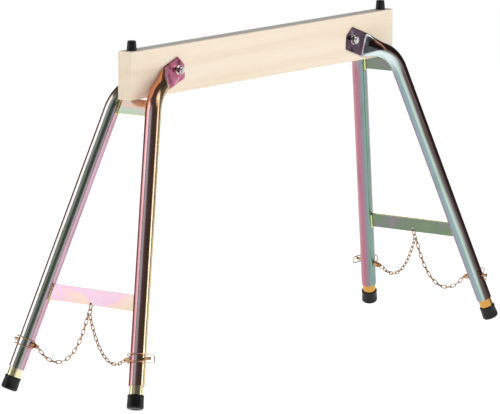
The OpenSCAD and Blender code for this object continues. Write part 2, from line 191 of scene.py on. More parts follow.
def mergeAndTurnOut():
    bpy.ops.mesh.select_all(action="SELECT")
    bpy.ops.mesh.remove_doubles(threshold=0.000001)
    bpy.ops.mesh.normals_make_consistent(inside=False)


def finishWith(piece, kind, settings):
    modifier = piece.modifiers.new(kind, kind)
    for name, value in settings.items():
        setattr(modifier, name, value)
    takeUp(piece)
    bpy.ops.object.modifier_apply(modifier=modifier.name)


def cutWith(piece, tool, operation="DIFFERENCE"):
    finishWith(piece, "BOOLEAN", {"object": tool, "operation": operation, "solver": "EXACT"})
    bpy.data.objects.remove(tool)


def smooth(piece, degrees=35):
    takeUp(piece)
    bpy.ops.object.shade_smooth_by_angle(angle=math.radians(degrees))


def copyOf(piece, name):
    twin = piece.copy()
    twin.data = piece.data.copy()
    twin.name = name
    twin.data.name = name
    bpy.context.scene.collection.objects.link(twin)
    return twin


def roundBar(radius, length, place, sidesRound=32):  # a cutting cylinder whose middle is at place
    bpy.ops.mesh.primitive_cylinder_add(vertices=sidesRound, radius=radius, depth=length)
    return settle(begin("cutter"), place)


def turned(name, profile, sidesRound=48, closed=False):  # a lathe shape, pulled up ring by ring
    firstRadius, firstHeight = profile[0]
    bpy.ops.mesh.primitive_circle_add(
        vertices=sidesRound, radius=firstRadius, fill_type="NGON", location=(0, 0, firstHeight))
    piece = begin(name)
    bpy.ops.object.mode_set(mode="EDIT")
    bpy.ops.mesh.select_all(action="SELECT")
    radius, height = firstRadius, firstHeight
    for nextRadius, nextHeight in profile[1:]:
        pull((0, 0, nextHeight - height))
        growth = nextRadius / radius
        bpy.ops.transform.resize(value=(growth, growth, 1), center_override=(0, 0, nextHeight))
        radius, height = nextRadius, nextHeight
    if closed:
        bpy.ops.mesh.edge_face_add()
    mergeAndTurnOut()
    bpy.ops.object.mode_set(mode="OBJECT")
    smooth(piece, 30)
    return piece


def arc(centre, radius, fromDegrees, toDegrees, steps):  # points of a rounded edge in a profile
    points = []
    for i in range(steps + 1):
        turn = math.radians(fromDegrees + (toDegrees - fromDegrees) * i / steps)
        points.append((centre[0] + radius * math.cos(turn), centre[1] + radius * math.sin(turn)))
    return points


# ---- Shader sockets as Python values

class Wire:
    def __init__(self, tree, socket=None):
        self.tree = tree
        self.socket = socket

    def node(self, kind, settings=None, inputs=None, output=0):
        made = self.tree.nodes.new(kind)
        for name, value in (settings or {}).items():
            if name == "stops":
                self.fillRamp(made.color_ramp, value)
            else:
                setattr(made, name, value)
        for name, value in (inputs or {}).items():
            if isinstance(value, Wire):
                self.tree.links.new(value.socket, made.inputs[name])
            else:
                made.inputs[name].default_value = value
        return Wire(self.tree, made.outputs[output])

    def fillRamp(self, ramp, stops):
        while len(ramp.elements) < len(stops):
            ramp.elements.new(1.0)
        for element, (place, colour) in zip(ramp.elements, stops):
            element.position = place
            element.color = (*colour, 1.0)

    def maths(self, operation, first, second=0.0):
        return self.node("ShaderNodeMath", {"operation": operation}, {0: first, 1: second})

    def __add__(self, other):
        return self.maths("ADD", self, other)

    def __radd__(self, other):
        return self.maths("ADD", other, self)

    def __sub__(self, other):
        return self.maths("SUBTRACT", self, other)

    def __rsub__(self, other):
        return self.maths("SUBTRACT", other, self)

    def __mul__(self, other):
        return self.maths("MULTIPLY", self, other)

    def __rmul__(self, other):
        return self.maths("MULTIPLY", other, self)

    def __pow__(self, other):
        return self.maths("POWER", self, other)

    def above(self, low, high):  # 0 below low, 1 above high, smooth between
        return self.node("ShaderNodeMapRange", {"interpolation_type": "SMOOTHSTEP"},
                         {"Value": self, "From Min": low, "From Max": high})


def newMaterial(name):
    material = bpy.data.materials.new(name)
    material.use_nodes = True
    tree = material.node_tree
    shader = tree.nodes["Principled BSDF"]
    flow = Wire(tree)
    return material, flow, shader


def feed(flow, shader, values):  # numbers are set on the shader's sockets, wires are linked
    for name, value in values.items():
        if isinstance(value, Wire):
            flow.tree.links.new(value.socket, shader.inputs[name])
        else:
            shader.inputs[name].default_value = value


def objectPoint(flow):
    return flow.node("ShaderNodeTexCoord", output=3)


def stretched(flow, vector, scale):
    return flow.node("ShaderNodeVectorMath", {"operation": "MULTIPLY"}, {0: vector, 1: scale})


def noise(flow, vector, scale=1.0, detail=3.0, roughness=0.5, distortion=0.0):
    return flow.node("ShaderNodeTexNoise", {}, {
        "Vector": vector, "Scale": scale, "Detail": detail,
        "Roughness": roughness, "Distortion": distortion})


def mixed(flow, factor, first, second, blend="MIX"):
    made = flow.tree.nodes.new("ShaderNodeMix")
    made.data_type = "RGBA"
    made.blend_type = blend
    for slotIndex, value in ((0, factor), (6, first), (7, second)):
        if isinstance(value, Wire):
            flow.tree.links.new(value.socket, made.inputs[slotIndex])
        else:
            made.inputs[slotIndex].default_value = value if slotIndex == 0 else (*value, 1.0)
    return Wire(flow.tree, made.outputs[2])


def ramp(flow, factor, stops):
    return flow.node("ShaderNodeValToRGB", {"stops": stops}, {"Fac": factor})


def bumped(flow, height, strength, distance, normal=None):
    inputs = {"Height": height, "Strength": strength, "Distance": distance}
    if normal is not None:
        inputs["Normal"] = normal
    return flow.node("ShaderNodeBump", {}, inputs)


def give(piece, material):
    piece.data.materials.clear()
    piece.data.materials.append(material)


# ---- Camera, floor and light

cameraView = {"place": (-9.6541, -7.2478, 2.3753), "aim": (-0.0887, -0.0362, 0.3958),
              "lens": 346.7, "sensor": 36.0, "roll": 0.155}

cameraData = bpy.data.cameras.new("camera")
cameraData.lens = cameraView["lens"]
cameraData.sensor_width = cameraView["sensor"]
cameraData.clip_end = 200
camera = bpy.data.objects.new("camera", cameraData)
bpy.context.scene.collection.objects.link(camera)
camera.location = cameraView["place"]
gaze = Vector(cameraView["aim"]) - Vector(cameraView["place"])
turnToAim = gaze.to_track_quat("-Z", "Y").to_matrix()
camera.rotation_euler = (turnToAim @ Matrix.Rotation(math.radians(cameraView["roll"]), 3, "Z")).to_euler()
bpy.context.scene.camera = camera

studio = {
    "floorSize": 80.0, "floorColour": (0.55, 0.55, 0.55), "floorGlow": 0.93,
    "worldStrength": 0.10,
    "boxes": [
        # name, bearing to the right of the camera, distance, height, width, tall, power, in reflections
        ("leftBox", -80, 3.2, 1.6, 2.2, 3.0, 30, True),
        ("rightBox", 74, 3.2, 2.0, 1.1, 3.6, 36, True),
        ("frontBox", -38, 4.4, 2.8, 2.6, 3.4, 9, True),
        ("topBox", 58, 2.1, 3.3, 1.6, 1.6, 14, True),
        ("rearBox", 180, 4.5, 2.6, 4.0, 2.0, 30, True),
        ("fillBox", 15, 4.4, 3.0, 3.0, 3.0, 54, False),
    ],
}


def makeStudio():
    bpy.ops.mesh.primitive_plane_add(size=studio["floorSize"])
    floor = begin("floor")
    material, flow, shader = newMaterial("paleFloor")
    feed(flow, shader, {
        "Base Color": (*studio["floorColour"], 1.0), "Roughness": 0.85,
        "Emission Color": (1.0, 1.0, 1.0, 1.0), "Emission Strength": studio["floorGlow"]})
    floor.data.materials.append(material)

    world = bpy.data.worlds.new("studio")
    world.use_nodes = True
    background = world.node_tree.nodes["Background"]
    background.inputs["Color"].default_value = (1.0, 1.0, 1.0, 1.0)
    background.inputs["Strength"].default_value = studio["worldStrength"]
    bpy.context.scene.world = world

    toCamera = Vector((-gaze.x, -gaze.y, 0)).normalized()
    for name, bearing, distance, height, width, tall, power, reflected in studio["boxes"]:
        light = bpy.data.lights.new(name, "AREA")
        light.shape = "RECTANGLE"
        light.size = width
        light.size_y = tall
        light.energy = power
        box = bpy.data.objects.new(name, light)
        bpy.context.scene.collection.objects.link(box)
        box.visible_glossy = reflected
        outward = Matrix.Rotation(math.radians(bearing), 3, "Z") @ toCamera
        box.location = outward * distance + Vector((0, 0, height))
        box.rotation_euler = (Vector((0, 0, 0.4)) - box.location).to_track_quat("-Z", "Y").to_euler()

    bpy.context.scene.view_settings.view_transform = "Standard"


makeStudio()
print("studio made")

# ---- Materials

wood = {
    "pale": (0.88, 0.77, 0.63), "deep": (0.83, 0.70, 0.53), "line": (0.70, 0.53, 0.36),
    "knot": (0.32, 0.20, 0.11), "patch": (0.86, 0.72, 0.53), "end": (0.84, 0.70, 0.48),
    # top is a painted shade colour: the beam's top face is made darker because less light falls on it
    "top": (0.52, 0.50, 0.51), "heartBehind": 0.035, "heartUp": 0.69, "ringPitch": 0.0042,
    "skin": 0.0006,
}


def woodFinish():
    material, flow, shader = newMaterial("planedSpruce")
    point = objectPoint(flow)
    wavy = noise(flow, stretched(flow, point, (1.4, 5.0, 5.0)), 1.0, 2.0)
    alongBeam = flow.node("ShaderNodeSeparateXYZ", {}, {0: point}, output=0)
    acrossBeam = flow.node("ShaderNodeSeparateXYZ", {}, {0: point}, output=1)
    upBeam = flow.node("ShaderNodeSeparateXYZ", {}, {0: point}, output=2)
    # Growth rings round a heart that lies below and behind the board
    ringY = acrossBeam + wood["heartBehind"] + wavy * 0.012
    ringZ = upBeam - wood["heartUp"] + wavy * 0.030
    ringRadius = (ringY * ringY + ringZ * ringZ) ** 0.5
    ringTurn = ringRadius * (2 * math.pi / wood["ringPitch"])
    rings = ringTurn.maths("SINE", ringTurn)
    latewood = rings.above(0.25, 1.0)
    fibre = noise(flow, stretched(flow, point, (2.5, 260.0, 260.0)), 1.0, 4.0, 0.6)
    streak = noise(flow, stretched(flow, point, (0.9, 40.0, 40.0)), 1.0, 3.0, 0.55)
    patch = noise(flow, stretched(flow, point, (3.0, 9.0, 9.0)), 1.0, 2.0)
    base = mixed(flow, streak.above(0.35, 0.75), wood["pale"], wood["deep"])
    base = mixed(flow, latewood * 0.22 + fibre.above(0.45, 0.8) * 0.12, base, wood["line"])
    base = mixed(flow, patch.above(0.5, 0.8) * 0.35, base, wood["patch"])
    spots = flow.node("ShaderNodeTexVoronoi", {"feature": "F1"}, {
        "Vector": stretched(flow, point, (4.0, 11.0, 11.0)), "Scale": 1.0, "Randomness": 1.0})
    knot = 1.0 - spots.above(0.035, 0.085)
    base = mixed(flow, knot * 0.75, base, wood["knot"])
    skin = wood["skin"]
    endGrain = alongBeam.maths("ABSOLUTE", alongBeam).above(beamHigh.x - skin, beamHigh.x - skin / 3)
    base = mixed(flow, endGrain * 0.30, base, wood["end"])
    # Painted shade: the top face is mixed towards a darker grey, standing in for the dimmer light from
    # above
    paintedTopShade = upBeam.above(beamHigh.z - skin, beamHigh.z - skin / 3)
    base = mixed(flow, paintedTopShade * 0.6, base, wood["top"])
    rough = 0.52 + fibre * 0.16 - latewood * 0.06
    relief = bumped(flow, fibre * 0.5 + latewood * 0.35, 0.25, 0.0006)
    feed(flow, shader, {"Base Color": base, "Roughness": rough, "Normal": relief,
                        "Specular IOR Level": 0.35})
    return material


# Tints of the plating across a tube, from one edge of the round to the other, with painted highlights and
# painted dark reflection stripes laid in among them
filmsWithPaintedReflections = {
    "left_front": {
        "edgeAt": -37, "plate": (0.42, 0.11, 0.19), "platePale": (0.70, 0.46, 0.54),
        "knee": (0.72, 0.22, 0.03), "kneeTo": 0.42,
        "stops": [
            (0.00, (0.30, 0.06, 0.06)), (0.10, (0.60, 0.30, 0.32)), (0.20, (0.86, 0.72, 0.78)),
            (0.34, (0.62, 0.40, 0.42)), (0.48, (0.46, 0.27, 0.21)), (0.64, (0.40, 0.24, 0.10)),
            (0.76, (0.90, 0.76, 0.62)), (0.88, (0.74, 0.56, 0.26)), (1.00, (0.50, 0.24, 0.06))]},
    "left_back": {
        "edgeAt": -143, "plate": (0.40, 0.16, 0.10), "platePale": (0.62, 0.50, 0.40),
        "knee": (0.50, 0.22, 0.06), "kneeTo": 0.35,
        "stops": [
            (0.00, (0.30, 0.09, 0.06)), (0.12, (0.70, 0.45, 0.36)), (0.28, (0.84, 0.80, 0.80)),
            (0.48, (0.46, 0.52, 0.46)), (0.66, (0.26, 0.36, 0.24)), (0.80, (0.40, 0.32, 0.38)),
            (0.92, (0.56, 0.36, 0.46)), (1.00, (0.42, 0.20, 0.26))]},
    "right_front": {
        "edgeAt": 37, "plate": (0.09, 0.05, 0.08), "platePale": (0.34, 0.32, 0.38),
        "knee": (0.66, 0.76, 0.76), "kneeTo": 0.84,
        "stops": [
            (0.00, (0.38, 0.24, 0.32)), (0.10, (0.26, 0.19, 0.27)), (0.28, (0.25, 0.30, 0.36)),
            (0.46, (0.22, 0.36, 0.34)), (0.56, (0.44, 0.58, 0.52)), (0.66, (0.40, 0.42, 0.40)),
            (0.76, (0.10, 0.09, 0.09)), (0.92, (0.06, 0.035, 0.03)), (1.00, (0.16, 0.07, 0.06))]},
    "right_back": {
        "edgeAt": 143, "plate": (0.24, 0.10, 0.14), "platePale": (0.44, 0.40, 0.46),
        "knee": (0.30, 0.34, 0.30), "kneeTo": 0.35,
        "stops": [
            (0.00, (0.48, 0.22, 0.26)), (0.16, (0.40, 0.15, 0.20)), (0.32, (0.27, 0.20, 0.26)),
            (0.46, (0.20, 0.26, 0.27)), (0.62, (0.20, 0.34, 0.26)), (0.78, (0.18, 0.26, 0.24)),
            (0.92, (0.32, 0.28, 0.36)), (1.00, (0.48, 0.34, 0.42))]},
}


plating = {
    "streakShift": 0.16, "cloudShift": 0.14, "yellow": (0.46, 0.50, 0.20), "yellowing": 0.30,
    "kneeFrom": 0.0, "kneeTo": 0.16, "kneeSoft": 0.02, "plateEnd": 0.010, "plateSoft": 0.014,
    "roughness": 0.13,
}


def zincTube(name, filmWithPaintedReflections):
    material, flow, shader = newMaterial(name)
    line = flow.node("ShaderNodeAttribute", {"attribute_name": "tubeLine"}, output=1)
    turn = math.radians(filmWithPaintedReflections["edgeAt"])
    across = flow.node("ShaderNodeVectorMath", {"operation": "DOT_PRODUCT"},
                       {0: line, 1: (math.cos(turn), math.sin(turn), 0.0)}, output=1)
    streak = noise(flow, stretched(flow, line, (3.2, 3.2, 2.2)), 1.0, 3.0, 0.55)
    cloud = noise(flow, stretched(flow, line, (1.1, 1.1, 7.0)), 1.0, 3.0, 0.5)
    fine = noise(flow, stretched(flow, line, (40.0, 40.0, 9.0)), 1.0, 3.0)
    factor = (across * 0.5 + 0.5 + (streak - 0.5) * plating["streakShift"]
              + (cloud - 0.5) * plating["cloudShift"])
    # The ramp paints bright highlight bands and dark reflection stripes round the tube, besides the
    # plating's pink, green and gold tints
    colour = ramp(flow, factor, filmWithPaintedReflections["stops"])
    yellowed = cloud.above(0.52, 0.72) * plating["yellowing"]
    colour = mixed(flow, yellowed, colour, plating["yellow"], "MULTIPLY")
    along = flow.node("ShaderNodeSeparateXYZ", {}, {0: line}, output=2)
    kneeFrom = plating["kneeFrom"]
    kneeEnd = plating["kneeTo"]
    nearKnee = (along.above(kneeFrom, kneeFrom + plating["kneeSoft"])
                * (1.0 - along.above(kneeEnd / 2, kneeEnd)))
    kneeSide = 1.0 - factor.above(filmWithPaintedReflections["kneeTo"] - 0.12, filmWithPaintedReflections["kneeTo"] + 0.06)
    # Near the bend one side is mixed to a set colour: a pale painted highlight on the right front tube, a
    # tint on the other tubes
    colour = mixed(flow, nearKnee * kneeSide * 0.85, colour, filmWithPaintedReflections["knee"])
    plateEnd = plating["plateEnd"]
    onPlateFace = 1.0 - along.above(plateEnd - plating["plateSoft"], plateEnd)
    blotch = noise(flow, stretched(flow, objectPoint(flow), (38.0, 38.0, 26.0)), 1.0, 3.0, 0.5)
    dim = tuple(value * 0.30 for value in filmWithPaintedReflections["plate"])
    plateTone = ramp(flow, blotch, [(0.34, dim), (0.47, filmWithPaintedReflections["plate"]), (0.60, filmWithPaintedReflections["plate"]),
                                    (0.72, filmWithPaintedReflections["platePale"])])
    colour = mixed(flow, onPlateFace, colour, plateTone)
    rough = plating["roughness"] + fine * 0.10 + streak.above(0.55, 0.8) * 0.05
    relief = bumped(flow, fine, 0.04, 0.0004)
    feed(flow, shader, {"Base Color": colour, "Metallic": 1.0, "Roughness": rough, "Normal": relief,
                        "Coat Weight": 0.15, "Coat Roughness": 0.06})
    return material


# The plating on bars and small parts, in object coordinates
def zincFlat(name, tones, stretch, slant=(0.0, 0.0, 0.0)):
    material, flow, shader = newMaterial(name)
    point = objectPoint(flow)
    cloud = noise(flow, stretched(flow, point, stretch), 1.0, 3.0, 0.5, 0.6)
    fine = noise(flow, stretched(flow, point, (220.0, 220.0, 220.0)), 1.0, 3.0)
    drift = flow.node("ShaderNodeVectorMath", {"operation": "DOT_PRODUCT"}, {0: point, 1: slant}, output=1)
    colour = ramp(flow, cloud + drift + (fine - 0.5) * 0.06, tones)
    rough = 0.16 + fine * 0.12
    relief = bumped(flow, fine, 0.06, 0.0004)
    feed(flow, shader, {"Base Color": colour, "Metallic": 1.0, "Roughness": rough, "Normal": relief,
                        "Coat Weight": 0.1, "Coat Roughness": 0.08})
    return material


def rubberFinish(name, roughness):
    material, flow, shader = newMaterial(name)
    point = objectPoint(flow)
    grain = noise(flow, point, 900.0, 3.0)
    dust = noise(flow, point, 60.0, 4.0, 0.6)
    colour = mixed(flow, dust.above(0.5, 0.8) * 0.5, (0.0035, 0.0035, 0.0038), (0.012, 0.012, 0.0115))
    rough = roughness + dust * 0.15
    relief = bumped(flow, grain, 0.15, 0.0003)
    feed(flow, shader, {"Base Color": colour, "Roughness": rough, "Normal": relief,
                        "Specular IOR Level": 0.28})
    return material


paleTones = [(0.25, (0.58, 0.57, 0.62)), (0.40, (0.62, 0.48, 0.60)), (0.52, (0.68, 0.45, 0.55)),
             (0.64, (0.68, 0.51, 0.43)), (0.78, (0.64, 0.62, 0.46))]
greenTones = [(0.25, (0.17, 0.25, 0.13)), (0.42, (0.15, 0.21, 0.14)), (0.55, (0.18, 0.20, 0.17)),
              (0.68, (0.22, 0.19, 0.21)), (0.80, (0.19, 0.27, 0.11))]
warmTones = [(0.25, (0.70, 0.24, 0.10)), (0.42, (0.66, 0.36, 0.26)), (0.56, (0.40, 0.42, 0.38)),
             (0.68, (0.34, 0.46, 0.30)), (0.80, (0.62, 0.64, 0.20))]
goldTones = [(0.25, (0.50, 0.28, 0.06)), (0.45, (0.56, 0.32, 0.08)), (0.58, (0.62, 0.28, 0.07)),
             (0.72, (0.46, 0.42, 0.14))]
creamTones = [(0.25, (0.82, 0.78, 0.56)), (0.45, (0.80, 0.72, 0.42)), (0.60, (0.70, 0.66, 0.50)),
              (0.75, (0.62, 0.58, 0.60))]
copperTones = [(0.25, (0.30, 0.14, 0.06)), (0.45, (0.56, 0.32, 0.15)), (0.60, (0.36, 0.24, 0.18)),
               (0.75, (0.80, 0.62, 0.34))]
boltTones = [(0.3, (0.62, 0.60, 0.58)), (0.5, (0.76, 0.74, 0.70)), (0.7, (0.52, 0.46, 0.50))]
# Weld colour, also used as a painted highlight on the crossbars' edges
weldAndEdgeHighlightTones = [(0.3, (0.66, 0.66, 0.22)), (0.5, (0.80, 0.76, 0.34)), (0.7, (0.46, 0.56, 0.20))]

spruce = woodFinish()
rubber = rubberFinish("blackRubber", 0.26)
zincTubes = {f"{side}_{row}": zincTube(f"{side}{row.title()}Zinc", filmsWithPaintedReflections[f"{side}_{row}"])
             for side, row in corners}
paleZinc = zincFlat("paleZinc", paleTones, (6.0, 9.0, 14.0))
greenZinc = zincFlat("greenZinc", greenTones, (6.0, 9.0, 20.0))
warmZinc = zincFlat("warmZinc", warmTones, (6.0, 7.0, 16.0), (0.0, 2.4, 0.0))
creamZinc = zincFlat("creamZinc", creamTones, (14.0, 14.0, 14.0))
goldZinc = zincFlat("goldZinc", goldTones, (14.0, 14.0, 14.0))
copperZinc = zincFlat("copperZinc", copperTones, (90.0, 90.0, 90.0))
boltZinc = zincFlat("boltZinc", boltTones, (70.0, 70.0, 70.0))
weldZinc = zincFlat("weldZinc", weldAndEdgeHighlightTones, (90.0, 90.0, 90.0))
print("materials made")

# ---- Leg tubes

legTube = {"sidesRound": 48, "bendSteps": 16, "pressSteps": 12, "boltHole": 0.0062, "pinHole": 0.0044,
           "plateCorners": [(-0.017, -0.031), (-0.0265, 0.003), (-0.0095, 0.031)]}


def power(value, exponent):
    return math.copysign(abs(value) ** exponent, value)


def pressFlat(tube):  # the round end is pressed into a flat one, widest at the fold
    radius = steel["tubeRadius"]
    roundAt = bendFrom - 0.004
    for vertex in tube.data.vertices:
        point = vertex.co
        if point.x > roundAt or point.z < -radius * 1.01:
            continue
        share = max(point.x, 0.0) / roundAt
        swell = share * share * (3 - 2 * share)
        wide = steel["plateWidth"] / 2 + (radius - steel["plateWidth"] / 2) * swell
        thick = steel["plateThick"] / 2 + (radius - steel["plateThick"] / 2) * swell
        squareness = 0.3 + 0.7 * math.sqrt(share)
        across = point.z / radius
        out = (point.y + steel["tubeOffset"]) / radius
        point.z = wide * power(across, squareness)
        point.y = thick * power(out, squareness) - steel["tubeOffset"] * swell


def markTube(piece, toWorld):  # how far along and how far round the tube each point lies
    toLocal = toWorld.inverted()
    bendEnd = Vector((bendFrom + steel["bendRadius"] * math.sin(bend), 0,
                      -steel["bendRadius"] * (1 - math.cos(bend))))
    down = Vector((math.cos(bend), 0, -math.sin(bend)))
    outer = Vector((math.sin(bend), 0, math.cos(bend)))
    marks = piece.data.attributes.new("tubeLine", "FLOAT_VECTOR", "POINT")
    for vertex in piece.data.vertices:
        point = toLocal @ vertex.co
        outward = -(point.y + steel["tubeOffset"])
        past = (point - bendEnd).dot(down)
        if past > 0:
            along = bendFrom + bendLength + past
            across = (point - bendEnd).dot(outer)
        elif point.x < bendFrom:
            along = point.x
            across = point.z
        else:
            turn = math.atan2(point.x - bendFrom, point.z + steel["bendRadius"])
            along = bendFrom + steel["bendRadius"] * turn
            across = math.hypot(point.x - bendFrom, point.z + steel["bendRadius"]) - steel["bendRadius"]
        reach = max(math.hypot(outward, across), 0.0001)
        marks.data[vertex.index].vector = (outward / reach, across / reach, along)


def makeLegTube():
    bpy.ops.mesh.primitive_circle_add(
        vertices=legTube["sidesRound"], radius=steel["tubeRadius"],
        location=(bendFrom, -steel["tubeOffset"], 0), rotation=(0, math.pi / 2, 0))
    tube = begin("legTube")
    bpy.ops.object.mode_set(mode="EDIT")
    bpy.ops.mesh.select_all(action="SELECT")
    bpy.ops.mesh.spin(steps=legTube["bendSteps"], angle=-bend,
                      center=(bendFrom, 0, -steel["bendRadius"]), axis=(0, 1, 0))
    straight = legRun - bendReach - steel["tubeEndUp"]
    for _ in range(6):
        pull(Vector((math.cos(bend), 0, -math.sin(bend))) * (straight / 6))
    pick(tube, "VERT", lambda vertex: abs(vertex.co.x - bendFrom) < 0.00001)
    for _ in range(legTube["pressSteps"]):
        pull((-bendFrom / legTube["pressSteps"], 0, 0))
    bpy.ops.object.mode_set(mode="OBJECT")
    pressFlat(tube)
    pick(tube, "VERT", lambda vertex: vertex.co.x < 0.00001)
    plateLine = Vector((-math.cos(fold), -math.sin(fold), 0))
    for _ in range(4):
        pull(plateLine * 0.020)
    trimPlate()
    mergeAndTurnOut()
    bpy.ops.object.mode_set(mode="OBJECT")
    finishWith(tube, "SOLIDIFY", {"thickness": steel["wall"], "offset": -1.0})
    settle(tube, pastFold)
    cutWith(tube, roundBar(legTube["boltHole"], 0.03, onPlate @ Matrix.Rotation(math.pi / 2, 4, "X")))
    atPin = alongLeg @ Matrix.Translation((0, 0, steel["pinUp"]))
    cutWith(tube, roundBar(legTube["pinHole"], 0.06, atPin @ Matrix.Rotation(math.pi / 2, 4, "X")))
    markTube(tube, pastFold)
    smooth(tube, 40)
    return tube


def trimPlate():  # cuts the corners off the pressed end
    fromPlate = Matrix.Rotation(fold, 4, "Z") @ Matrix.Translation((-steel["foldAt"], 0, 0))
    corner = legTube["plateCorners"]
    for start, end in zip(corner, corner[1:]):
        edge = Vector((end[0] - start[0], 0, end[1] - start[1])).normalized()
        outside = Vector((-edge.z, 0, edge.x))
        bpy.ops.mesh.select_all(action="SELECT")
        bpy.ops.mesh.bisect(plane_co=fromPlate @ Vector((start[0], 0, start[1])),
                            plane_no=fromPlate.to_3x3() @ outside, clear_outer=True)


firstTube = makeLegTube()
for side, row in corners:
    tube = copyOf(firstTube, f"{side}{row.title()}LegTube")
    settle(tube, toCorner(side, row))
    give(tube, zincTubes[f"{side}_{row}"])
    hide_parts(f"{side}_{row}_leg")
    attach(tube, f"{side}_frame")
bpy.data.objects.remove(firstTube)
print("leg tubes made")

# ---- Crossbars and their welds

crossbar = {"edge": 0.0010, "intoWall": 0.0010, "eyeHole": 0.004, "eyeUp": 0.007,
            "beadRadius": 0.0024, "beadSteps": 16, "beadOver": 0.003, "beadTip": 0.35, "ripple": 0.16,
            "unevenSize": 0.08, "unevenPlace": 0.0001}


def makeBar(name, down, hasEye):
    reach = footY - (footDown - down) * math.tan(splay)
    bpy.ops.mesh.primitive_cube_add(size=1, location=(legOffset, 0, -down),
                                    scale=(steel["barThick"], 2 * reach, steel["barWidth"]))
    bar = begin(name)
    finishWith(bar, "BEVEL", {"width": crossbar["edge"], "segments": 3, "limit_method": "ANGLE"})
    settle(bar, inFrame)
    for row in rows:
        cope = roundBar(steel["tubeRadius"] - crossbar["intoWall"], 0.4,
                        toCorner("right", row) @ alongLeg @ Matrix.Translation((0, 0, footDown - down)), 48)
        cutWith(bar, cope)
    if hasEye:
        eyeDown = down + steel["barWidth"] / 2 - crossbar["eyeUp"]
        hole = inFrame @ Matrix.Translation((legOffset, 0, -eyeDown)) @ Matrix.Rotation(math.pi / 2, 4, "Y")
        cutWith(bar, roundBar(crossbar["eyeHole"], 0.02, hole))
    smooth(bar, 40)
    return bar


def makeBead():  # one weld bead of the bar's width, rippled, standing on the origin
    dice = random.Random(7)
    radius = crossbar["beadRadius"]
    length = steel["barWidth"] + crossbar["beadOver"]
    step = length / crossbar["beadSteps"]
    off = crossbar["unevenPlace"]
    size = radius * crossbar["beadTip"]
    bpy.ops.mesh.primitive_circle_add(vertices=12, radius=size, fill_type="NGON",
                                      location=(0, 0, -length / 2))
    bead = begin("bead")
    bpy.ops.object.mode_set(mode="EDIT")
    bpy.ops.mesh.select_all(action="SELECT")
    for i in range(crossbar["beadSteps"]):
        last = i == crossbar["beadSteps"] - 1
        uneven = dice.uniform(-crossbar["unevenSize"], crossbar["unevenSize"])
        wave = 1 + crossbar["ripple"] * (1 if i % 2 else -1) + uneven
        nextSize = radius * (crossbar["beadTip"] if last else wave)
        growth = nextSize / size
        height = -length / 2 + step * (i + 1)
        pull((dice.uniform(-off, off), dice.uniform(-off, off), step))
        bpy.ops.transform.resize(value=(growth, growth, 1), center_override=(0, 0, height))
        size = nextSize
    mergeAndTurnOut()
    bpy.ops.object.mode_set(mode="OBJECT")
    finishWith(bead, "SUBSURF", {"levels": 1, "render_levels": 1})
    takeUp(bead)
    bpy.ops.object.shade_smooth()
    return bead


bead = makeBead()
barFinishes = {("left", "upper"): warmZinc, ("left", "lower"): paleZinc,
               ("right", "upper"): greenZinc, ("right", "lower"): greenZinc}
for height, down in (("upper", upperBarDown), ("lower", lowerBarDown)):
    bar = makeBar("bar", down, height == "lower")
    alongLegAt = (footDown - down) / math.cos(splay)
    for side in ("left", "right"):
        sideBar = copyOf(bar, f"{side}{height.title()}Bar")
        settle(sideBar, toCorner(side))
        give(sideBar, barFinishes[side, height])
        sideBar.data.materials.append(weldZinc)
        # Painted highlight: the bar's bevelled edges and narrow faces take the bright yellow weld colour
        faceOut = (toCorner(side) @ inFrame).to_3x3() @ Vector((1, 0, 0))
        for polygon in sideBar.data.polygons:
            polygon.material_index = 1 if abs(polygon.normal.dot(faceOut)) < 0.95 else 0
        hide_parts(f"{side}_{height}_bar")
        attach(sideBar, f"{side}_frame")
        for row in rows:
            for face, way in (("Outer", 1), ("Inner", -1)):
                weld = copyOf(bead, f"{side}{row.title()}{height.title()}Weld{face}")
                offset = steel["barThick"] / 2 + crossbar["beadRadius"] * 0.55
                toBead = Matrix.Translation((way * offset, steel["tubeRadius"] + 0.0006, alongLegAt))
                settle(weld, toCorner(side, row) @ alongLeg @ toBead)
                give(weld, weldZinc)
                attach(weld, f"{side}_frame")
    bpy.data.objects.remove(bar)
bpy.data.objects.remove(bead)
print("crossbars made")

# ---- Stops, feet and pivot fasteners

stop = {"inset": 0.028, "base": 0.0124, "top": 0.0108, "high": 0.025, "edge": 0.0022,
        "recess": 0.0052, "recessDepth": 0.011, "seat": 0.001}


def makeStop():
    high = stop["high"]
    edge = stop["edge"]
    profile = [(stop["base"] - 0.0006, 0.0), (stop["base"], 0.0006), (stop["base"], 0.0030)]
    profile += arc((stop["top"] - edge, high - edge), edge, 0, 90, 6)
    profile += [(stop["recess"] + 0.0006, high), (stop["recess"], high - 0.0006),
                (stop["recess"], high - stop["recessDepth"])]
    return turned("stop", profile)


stopShape = makeStop()
for way, side in ((-1, "left"), (1, "right")):
    place = Vector((way * (beamHigh.x - stop["inset"]), 0, beamHigh.z - stop["seat"]))
    piece = copyOf(stopShape, f"{side}TopStop")
    settle(piece, Matrix.Translation(place))
    give(piece, rubber)
    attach(piece, "beam_set")
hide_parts("top_stops")
bpy.data.objects.remove(stopShape)

foot = {"top": 0.0198, "bottom": 0.021, "edge": 0.005, "high": 0.034, "bore": 0.0176, "floor": 0.008}


def makeFoot():
    profile = [(0.004, 0.0012), (0.0095, 0.0012), (0.0105, 0.0), (foot["bottom"] - foot["edge"], 0.0)]
    profile += arc((foot["bottom"] - foot["edge"], foot["edge"]), foot["edge"], -75, 0, 6)
    profile += [(foot["bottom"], 0.009), (foot["top"] + 0.0003, 0.028), (foot["top"] + 0.0009, 0.0293),
                (foot["top"] + 0.0009, 0.0326), (foot["top"] + 0.0003, foot["high"]),
                (foot["bore"] + 0.0006, foot["high"]), (foot["bore"], foot["high"] - 0.0008),
                (foot["bore"], foot["floor"])]
    return turned("foot", profile, 64)


